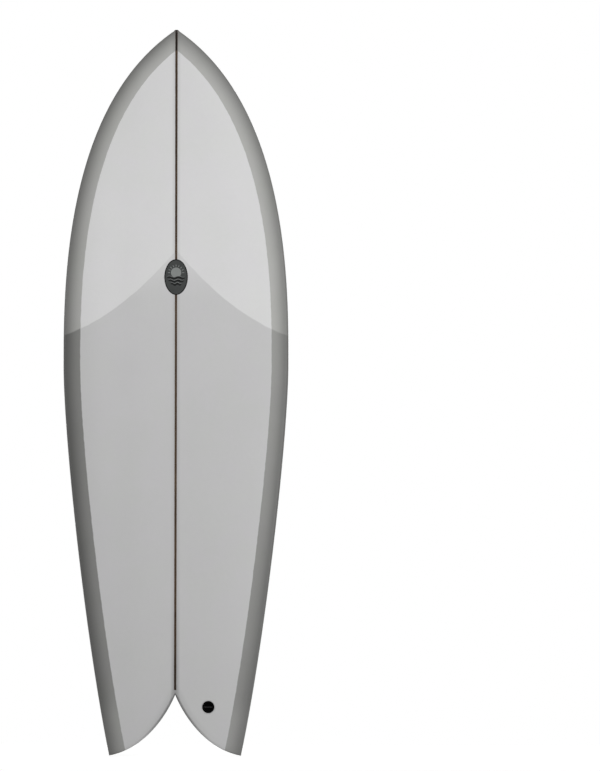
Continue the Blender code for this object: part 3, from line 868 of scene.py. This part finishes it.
def skin(name, side, look, inside, holes, replaces):
    """One side of the board: a closed shell with its fittings' holes cut through."""
    outer = scratch_object(name, grid_mesh(skin_grid(side), flip=side == BOTTOM), slots=2)
    shell = {"thickness": SHELL, "offset": -1, "material_offset": 1, "material_offset_rim": 1}
    mesh = cut_mesh(name, outer, holes, [("SOLIDIFY", shell)])
    dress(mesh, look, inside)
    set_smooth_normals(mesh, side)
    paint(mesh, side)
    return piece(name, mesh, replaces)


def hole(name, outline, placed):
    """A cutter through a skin, whose walls take the skin's second material."""
    rings = [outline(z) for z in (-HOLE_REACH, HOLE_REACH)]
    return scratch_object(name, loft(rings, placed, slot=1), slots=2)


box_frames = {}
box_holes = []
for half, word in HALVES:
    x, z = BOX_PLACE
    box_frames[half] = surface_frame(BOTTOM, half * x, z, -half * BOX_TOE)
    box_holes.append(hole(f"box_hole_{word}", lambda z: pill(BOX_FLANGE, z, HOLE_GAP), box_frames[half]))

plug_frame = surface_frame(DECK, *PLUG_PLACE)
plug_hole = hole("plug_hole", lambda z: circle(PLUG_FLANGE[0] + HOLE_GAP, z), plug_frame)

inside = inside_glass_look()
deck_nodes = ("deck_sanding_coat", "deck_laminate", "deck_patch")
skin("deck_skin", DECK, deck_look(), inside, [plug_hole], deck_nodes)
bottom_nodes = ("bottom_sanding_coat", "bottom_laminate")
skin("bottom_skin", BOTTOM, bottom_look(), inside, box_holes, bottom_nodes)


# -------- stringer and foam


def slab(name, low, high, deck_material, bottom_material, replaces):
    """An upright strip between two distances across the board, proud of both skins."""
    middle = (low + high) / 2
    reach = (high - low) / 2
    climb = np.linspace(0, 1, FOOT_STEPS + 1)[1:]
    foot = STRINGER_FOOT + reach * (1 - np.sqrt(1 - climb**2))
    heights = np.concatenate([foot, np.linspace(foot[-1], NOSE_END, STRIP_ROWS + 1)[1:]])
    shares = np.concatenate([climb, np.ones(STRIP_ROWS)])
    across = np.linspace(-1, 1, STRIP_COLUMNS + 1)
    centre = float(rail_line(NOSE_END))
    bm = bmesh.new()
    verts = {}
    for side in (DECK, BOTTOM):
        rows = []
        for z, share in zip(heights, shares):
            y = float(surface_y(side, 0, z)) + side * STRINGER_LIFT
            rows.append([(x, y, z) for x in across * share * reach + middle])
        last = rows[-1]
        for turn in quarter(CAP_STEPS)[1:-1]:
            top = NOSE_END + (NOSE_CAP + STRINGER_LIFT) * math.sin(turn)
            rows.append([(x, centre + (y - centre) * math.cos(turn), top) for x, y, _ in last])
        verts[side] = [[bm.verts.new(point) for point in row] for row in rows]
    for side, rows in verts.items():
        for below, above in zip(rows, rows[1:]):
            for j in range(STRIP_COLUMNS):
                face = bm.faces.new((below[j], below[j + 1], above[j + 1], above[j]))
                face.material_index = 0 if side == DECK else 1
    deck, bottom = verts[DECK], verts[BOTTOM]
    end = len(deck) - 1
    rim = [((i, j), (i + 1, j)) for j in (0, STRIP_COLUMNS) for i in range(end)]
    rim += [((i, j), (i, j + 1)) for i in (0, end) for j in range(STRIP_COLUMNS)]
    for (i, j), (k, m) in rim:
        bm.faces.new((deck[i][j], deck[k][m], bottom[k][m], bottom[i][j]))
    bmesh.ops.recalc_face_normals(bm, faces=bm.faces)
    mesh = mesh_of(name, bm)
    dress(mesh, deck_material, bottom_material)
    paint(mesh)
    return piece(name, mesh, replaces)


deck_timber = timber_look("timber under deck glass", DECK_TIMBER, 0.17)
bottom_timber = timber_look("timber under bottom glass", BOTTOM_TIMBER, 0.5)
deck_glue = timber_look("glue under deck glass", DECK_GLUE, 0.5)
bottom_glue = timber_look("glue under bottom glass", BOTTOM_GLUE, 0.4)

low, high = -STRINGER_HALF, STRINGER_HALF
slab("stringer_timber", low, high, deck_timber, bottom_timber, ("stringer",))
for half, word in HALVES:
    low, high = sorted((half * STRINGER_HALF, half * GLUE_OUT))
    slab(f"glue_strip_{word}", low, high, deck_glue, bottom_glue, (f"glue_line_{word}",))

halves = ("foam_half_left", "foam_half_right")
beds = ("fin_box_bed_left", "fin_box_bed_right", "leash_plug_bed")
for look, nodes in ((foam_look(), halves), (potting_look(), beds)):
    for node in nodes:
        materials = frame["nodes"][node].data.materials
        materials.clear()
        materials.append(look)


# -------- labels


def inlay(bm, side, grid, lift, slot):
    """Adds a thin sheet that follows the board, through a grid of (x, z) places."""
    rows, columns = grid.shape[:2]
    x, z = grid[:, :, 0], grid[:, :, 1]
    y = surface_y(side, x, z)
    layers = []
    for rise in (lift, lift - INLAY_DEPTH):
        points = np.stack([x, y + side * rise, z], axis=2)
        layers.append([[bm.verts.new(point) for point in row] for row in points])
    top, under = layers
    corners = ((0, 0), (0, 1), (1, 1), (1, 0))
    faces = []
    for i in range(rows - 1):
        for j in range(columns - 1):
            for layer in layers:
                faces.append(bm.faces.new([layer[i + up][j + along] for up, along in corners]))
    rim = [(i, 0) for i in range(rows)]
    rim += [(rows - 1, j) for j in range(1, columns)]
    rim += [(i, columns - 1) for i in range(rows - 2, -1, -1)]
    rim += [(0, j) for j in range(columns - 2, 0, -1)]
    for (i, j), (k, m) in zip(rim, rim[1:] + rim[:1]):
        faces.append(bm.faces.new((top[i][j], top[k][m], under[k][m], under[i][j])))
    bmesh.ops.recalc_face_normals(bm, faces=faces)
    for face in faces:
        face.material_index = slot
        face.smooth = True


def disc(x, z, width, height, steps=28):
    """A grid that fills an oval."""
    u, v = np.meshgrid(np.linspace(-1, 1, steps), np.linspace(-1, 1, steps))
    across, up = u * np.sqrt(1 - v**2 / 2), v * np.sqrt(1 - u**2 / 2)
    return np.stack([x + across * width / 2, z + up * height / 2], axis=2)


def panel_grid(x, z, width, height, steps=24):
    """A grid that fills a rectangle."""
    u, v = np.meshgrid(np.linspace(-0.5, 0.5, steps), np.linspace(-0.5, 0.5, steps))
    return np.stack([x + u * width, z + v * height], axis=2)


def wave_band(x, z, width, height, swell, crests=2, steps=60):
    """A grid along a wavy band that thins almost to a point at each end."""
    thinnest = 0.002
    along = np.linspace(-1, 1, steps)
    middle = swell * np.sin(along * crests * math.pi)
    thick = height * np.sqrt(np.clip(1 - along**2, thinnest, 1))
    rows = [np.stack([x + along * width / 2, z + middle + thick * t], axis=1) for t in (-0.5, 0, 0.5)]
    return np.stack(rows)


def ray(x, z, inner, outer, angle, width):
    """A grid along one thin ray from a centre, which narrows outward."""
    ahead = np.array((math.sin(angle), math.cos(angle)))
    beside = np.array((math.cos(angle), -math.sin(angle)))
    along = np.linspace(inner, outer, len(RAY_TAPER))[:, None] * ahead + (x, z)
    half = np.array(RAY_TAPER)[:, None] * width / 2 * beside
    return np.array([along - half, along + half])


# The emblem, in shares of its size
SUN_RISE = 0.16
SUN_WIDTH = 0.52
RAY_REACH = (0.31, 0.42)
RAY_WIDTH = 0.035
RAY_TAPER = (1.0, 0.8, 0.35)
RAYS = 9
WAVE_WIDTHS = (0.92, 0.78, 0.56)
WAVE_DROP = 0.10
WAVE_STEP = 0.16
WAVE_HEIGHT = 0.13
WAVE_SWELL = 0.03
CREST_RISE = 0.062
CREST_HEIGHT = 0.022
WAVE_LIFT = 0.04 * MM


def emblem(bm, side, x, z, size, lift):
    """A rising sun over three waves, in the inks of slots 1 and 2."""
    sun_z = z + SUN_RISE * size
    inlay(bm, side, disc(x, sun_z, SUN_WIDTH * size, SUN_WIDTH * size), lift, 1)
    inner, outer = (reach * size for reach in RAY_REACH)
    for angle in np.linspace(-math.pi / 2, math.pi / 2, RAYS):
        inlay(bm, side, ray(x, sun_z, inner, outer, angle, RAY_WIDTH * size), lift, 1)
    for i, share in enumerate(WAVE_WIDTHS):
        wave_z = z - (WAVE_DROP + WAVE_STEP * i) * size
        crest_z = wave_z + CREST_RISE * size
        width = share * size
        swell = WAVE_SWELL * size
        inlay(bm, side, wave_band(x, wave_z, width, WAVE_HEIGHT * size, swell), lift + WAVE_LIFT, 2)
        inlay(bm, side, wave_band(x, crest_z, width, CREST_HEIGHT * size, swell), lift + 2 * WAVE_LIFT, 1)


def label(name, side, grid, looks, draw, replaces):
    """A printed label: its base sheet, then whatever draw adds on it."""
    bm = bmesh.new()
    inlay(bm, side, grid, LABEL_LIFT, 0)
    draw(bm, LABEL_LIFT + INK_LIFT)
    mesh = mesh_of(name, bm)
    dress(mesh, *looks)
    return piece(name, mesh, replaces)


def draw_deck_mark(bm, lift):
    """A lighter oval inside the dark rim, and the emblem on it."""
    x, z, width, height = DECK_LABEL
    rim = 2.5 * MM
    inlay(bm, DECK, disc(x, z, width - 2 * rim, height - 2 * rim), lift, 3)
    emblem(bm, DECK, x, z + 3 * MM, 0.84 * width, lift + INK_LIFT)


def draw_bottom_mark(bm, lift):
    """The emblem, and a plain bar near the label's lower edge."""
    x, z, width, height = BOTTOM_LABEL
    bar_drop, bar_width, bar_height = 0.415 * height, 0.84 * width, 7 * MM
    emblem(bm, BOTTOM, x, z + 3 * MM, 0.66 * width, lift)
    inlay(bm, BOTTOM, panel_grid(x, z - bar_drop, bar_width, bar_height, 8), lift, 3)


grey_ink = paper_look("grey ink", (0.28, 0.295, 0.288))
light_ink = paper_look("light ink", (0.48, 0.48, 0.44))
slate_ink = paper_look("slate ink", (0.014, 0.015, 0.015))
black_ink = paper_look("black ink", (0.0068, 0.0036, 0.0070), fibre=0.2)
mid_ink = paper_look("middle grey ink", (0.066, 0.070, 0.069))
warm_ink = paper_look("warm grey ink", (0.19, 0.18, 0.15))
deck_inks = (slate_ink, grey_ink, slate_ink, mid_ink)
bottom_inks = (black_ink, light_ink, warm_ink, light_ink)
oval, square = disc(*DECK_LABEL), panel_grid(*BOTTOM_LABEL)
label("deck_mark", DECK, oval, deck_inks, draw_deck_mark, ("deck_decal",))
label("bottom_mark", BOTTOM, square, bottom_inks, draw_bottom_mark, ("bottom_decal",))


# -------- fin boxes and their screws

plastic = plastic_look()
steel = steel_look()
black_steel = black_steel_look()


def screw_frame(half):
    """The lock screw's frame: Z runs out along the screw, from the box's top face."""
    start = Matrix.Translation((SCREW_START, 0, 0))
    return box_frames[half] @ start @ Matrix.Rotation(SCREW_TILT, 4, "Y")


def fin_box(half, word):
    """A moulded box with a chamfered slot and a tilted hole for its lock screw."""
    placed = box_frames[half]
    lip, depth, deep = BOX_FLANGE[2], BOX_BODY[2], SLOT[2]
    rings = [
        pill(BOX_BODY, -depth, -BOX_EDGE),
        pill(BOX_BODY, BOX_EDGE - depth),
        pill(BOX_BODY, -lip),
        pill(BOX_FLANGE, -lip),
        *rounded(lambda inset, z: pill(BOX_FLANGE, z, -inset), BOX_EDGE),
    ]
    box = scratch_object(f"fin_box_{word}", loft(rings, placed))
    steps = ((-deep, 0), (-SLOT_EDGE, 0), (0, SLOT_EDGE), (SLOT_CUTTER_RISE, SLOT_EDGE))
    slot = [pill(SLOT, z, out, SLOT_OFFSET) for z, out in steps]
    bore = [circle(SCREW_RADIUS + SCREW_GAP, z, HOLE_STEPS) for z in (-HOLE_DEPTH, HOLE_REACH)]
    cutters = [
        scratch_object("slot", loft(slot, placed)),
        scratch_object("bore", loft(bore, screw_frame(half))),
    ]
    mesh = cut_mesh(f"fin_box_{word}_moulding", box, cutters)
    dress(mesh, plastic, sharp=30)
    return piece(mesh.name, mesh, (f"fin_box_{word}",))


def key_radius(angle):
    """Radius of the hexagonal key hole."""
    within = angle % (math.pi / 3) - math.pi / 6
    return SCREW_KEY * math.cos(math.pi / 6) / math.cos(within)


def thread_ring(z):
    """One ring of the thread, whose radius rises and falls once round the screw."""

    def radius(angle):
        wave = abs(((z / THREAD_PITCH - angle / (2 * math.pi)) % 1) * 2 - 1)
        return SCREW_RADIUS - THREAD_DEPTH * wave

    return circle(radius, z, SCREW_STEPS)


def fin_screw(half, word):
    """A socket set screw with a helical thread."""
    head = -SCREW_SUNK
    tip = head - SCREW_LENGTH
    core = SCREW_RADIUS - THREAD_DEPTH
    tip_inset, tip_height = TIP_EDGE
    threads = np.arange(tip + tip_height, head - THREAD_END, THREAD_PITCH / THREAD_STEPS)
    rings = [
        circle(core - tip_inset, tip, SCREW_STEPS),
        *(thread_ring(z) for z in threads),
        circle(core, head - 2 * HEAD_EDGE, SCREW_STEPS),
        circle(core, head - HEAD_EDGE, SCREW_STEPS),
        circle(core - HEAD_EDGE, head, SCREW_STEPS),
        circle(key_radius, head, SCREW_STEPS),
        circle(key_radius, head - SCREW_KEY_DEPTH, SCREW_STEPS),
    ]
    mesh = mesh_of(f"fin_screw_{word}_threaded", loft(rings, screw_frame(half)))
    dress(mesh, steel, sharp=25)
    return piece(mesh.name, mesh, (f"fin_screw_{word}",), body=f"fin_screw_{word}")


for half, word in HALVES:
    fin_box(half, word)
    fin_screw(half, word)


# -------- leash plug


def pin_frame():
    """The bar's frame: Z runs along the bar, across the cup."""
    sunk = Matrix.Translation((0, 0, -PIN_SUNK))
    return plug_frame @ (sunk @ Matrix.Rotation(math.pi / 2, 4, "X"))


def plug_cup():
    """A turned cup with a rounded lip, cut through for the bar's ends."""
    radius, lip = PLUG_FLANGE
    body_radius, depth = PLUG_BODY
    floor_radius, floor = PLUG_FLOOR
    rings = [
        circle(body_radius - PLUG_EDGE, -depth),
        circle(body_radius, PLUG_EDGE - depth),
        circle(body_radius, -lip),
        circle(radius, -lip),
        *rounded(lambda inset, z: circle(radius - inset, z), PLUG_EDGE),
        *reversed(rounded(lambda inset, z: circle(PLUG_MOUTH + inset, z), PLUG_EDGE)),
        *(circle(floor_radius + out, up - floor) for out, up in CUP_CURVE),
    ]
    cup = scratch_object("cup", loft(rings, plug_frame))
    reach = PIN_HALF + PIN_GAP
    bore = [circle(PIN_RADIUS + PIN_GAP, z, PIN_STEPS) for z in (-reach, reach)]
    mesh = cut_mesh("leash_plug_cup_turned", cup, [scratch_object("pin_hole", loft(bore, pin_frame()))])
    dress(mesh, plastic, sharp=30)
    return piece(mesh.name, mesh, ("leash_plug_cup",))


def plug_bar():
    """A round bar with rounded ends."""
    turns = quarter(PIN_EDGE_STEPS)
    rings = []
    for end, order in ((-1, turns), (1, turns[::-1])):
        for turn in order:
            inset = PIN_EDGE * (1 - math.sin(turn))
            back = PIN_EDGE * (1 - math.cos(turn))
            rings.append(circle(PIN_RADIUS - inset, end * (PIN_HALF - back), PIN_STEPS))
    mesh = mesh_of("leash_plug_bar_turned", loft(rings, pin_frame()))
    dress(mesh, black_steel)
    return piece(mesh.name, mesh, ("leash_plug_bar",))


plug_cup()
plug_bar()


# -------- floor, camera and light

FLOOR_DROP = 3 * MM
FLOOR_REACH = 1.6
FLOOR_GREY = (0.8, 0.8, 0.8, 1)
FLOOR_GLOW = 0.6
WHITE = (1, 1, 1, 1)
VIEW_CENTRE = (0.2957, 0.8824)
VIEW_HEIGHT = 1.8372
CAMERA_AWAY = 50
CAMERA_ROLL = math.radians(0.13)
SENSOR = 36
SIGHT = 200
ROOM_LIGHT = 0.25
BACKDROP_LIGHT = 1.0
BOARD_MIDDLE = Vector((0, 0, 0.86))

# Each lamp's name, place, width and height, and power in watts
LAMPS = (
    ("front_main", (0.1, -4.2, 2.1), (2.0, 2.0), 76),
    ("front_key", (2.9, -3.0, 0.6), (1.4, 2.0), 26),
    ("front_side", (3.4, -0.4, 0.6), (0.6, 2.0), 22),
    ("back_main", (0.0, 4.2, 1.2), (2.0, 2.0), 74),
    ("back_key", (-2.4, 3.4, 0.5), (1.4, 2.0), 10),
    ("back_side", (-3.4, 0.4, 0.8), (0.6, 2.0), 9),
    ("overhead", (0, 0, 3.6), (2.2, 2.2), 8),
)


def floor():
    """A pale floor under the tail tips, bright enough to meet the backdrop."""
    bm = bmesh.new()
    bmesh.ops.create_grid(bm, x_segments=1, y_segments=1, size=FLOOR_REACH)
    made = linked("floor", mesh_of("floor", bm))
    made.location.z = -FLOOR_DROP
    look = Look("pale floor", roughness=0.9, specular=0.0)
    look.shader.inputs["Emission Color"].default_value = WHITE
    look.shader.inputs["Emission Strength"].default_value = FLOOR_GLOW
    made.data.materials.append(look.finish(FLOOR_GREY))
    made.visible_diffuse = False


def camera():
    """A long lens square to the deck."""
    data = bpy.data.cameras.new("camera")
    data.sensor_width = SENSOR
    data.lens = SENSOR * CAMERA_AWAY / VIEW_HEIGHT
    data.clip_end = SIGHT
    made = linked("camera", data)
    x, z = VIEW_CENTRE
    made.location = (x, -CAMERA_AWAY, z)
    square = Matrix.Rotation(math.pi / 2, 3, "X")
    made.rotation_euler = (square @ Matrix.Rotation(CAMERA_ROLL, 3, "Z")).to_euler()
    bpy.context.scene.camera = made


def lamp(name, place, size, power):
    """A soft light that points at the middle of the board."""
    data = bpy.data.lights.new(name, "AREA")
    data.shape = "RECTANGLE"
    data.size, data.size_y = size
    data.energy = power
    made = linked(name, data)
    made.location = place
    made.rotation_euler = (BOARD_MIDDLE - Vector(place)).to_track_quat("-Z", "Y").to_euler()
    made.visible_camera = False


def world():
    """White to the camera, and even light on the board."""
    made = bpy.data.worlds.new("white room")
    bpy.context.scene.world = made
    made.use_nodes = True
    nodes, links = made.node_tree.nodes, made.node_tree.links
    nodes.clear()
    rays = nodes.new("ShaderNodeLightPath")
    mix = nodes.new("ShaderNodeMixShader")
    out = nodes.new("ShaderNodeOutputWorld")
    links.new(rays.outputs["Is Camera Ray"], mix.inputs[0])
    for i, strength in enumerate((ROOM_LIGHT, BACKDROP_LIGHT)):
        shade = nodes.new("ShaderNodeBackground")
        shade.inputs["Color"].default_value = WHITE
        shade.inputs["Strength"].default_value = strength
        links.new(shade.outputs[0], mix.inputs[1 + i])
    links.new(mix.outputs[0], out.inputs["Surface"])


floor()
camera()
world()
for settings in LAMPS:
    lamp(*settings)

scene = bpy.context.scene
scene.view_settings.view_transform = "Standard"
scene.view_settings.look = "None"
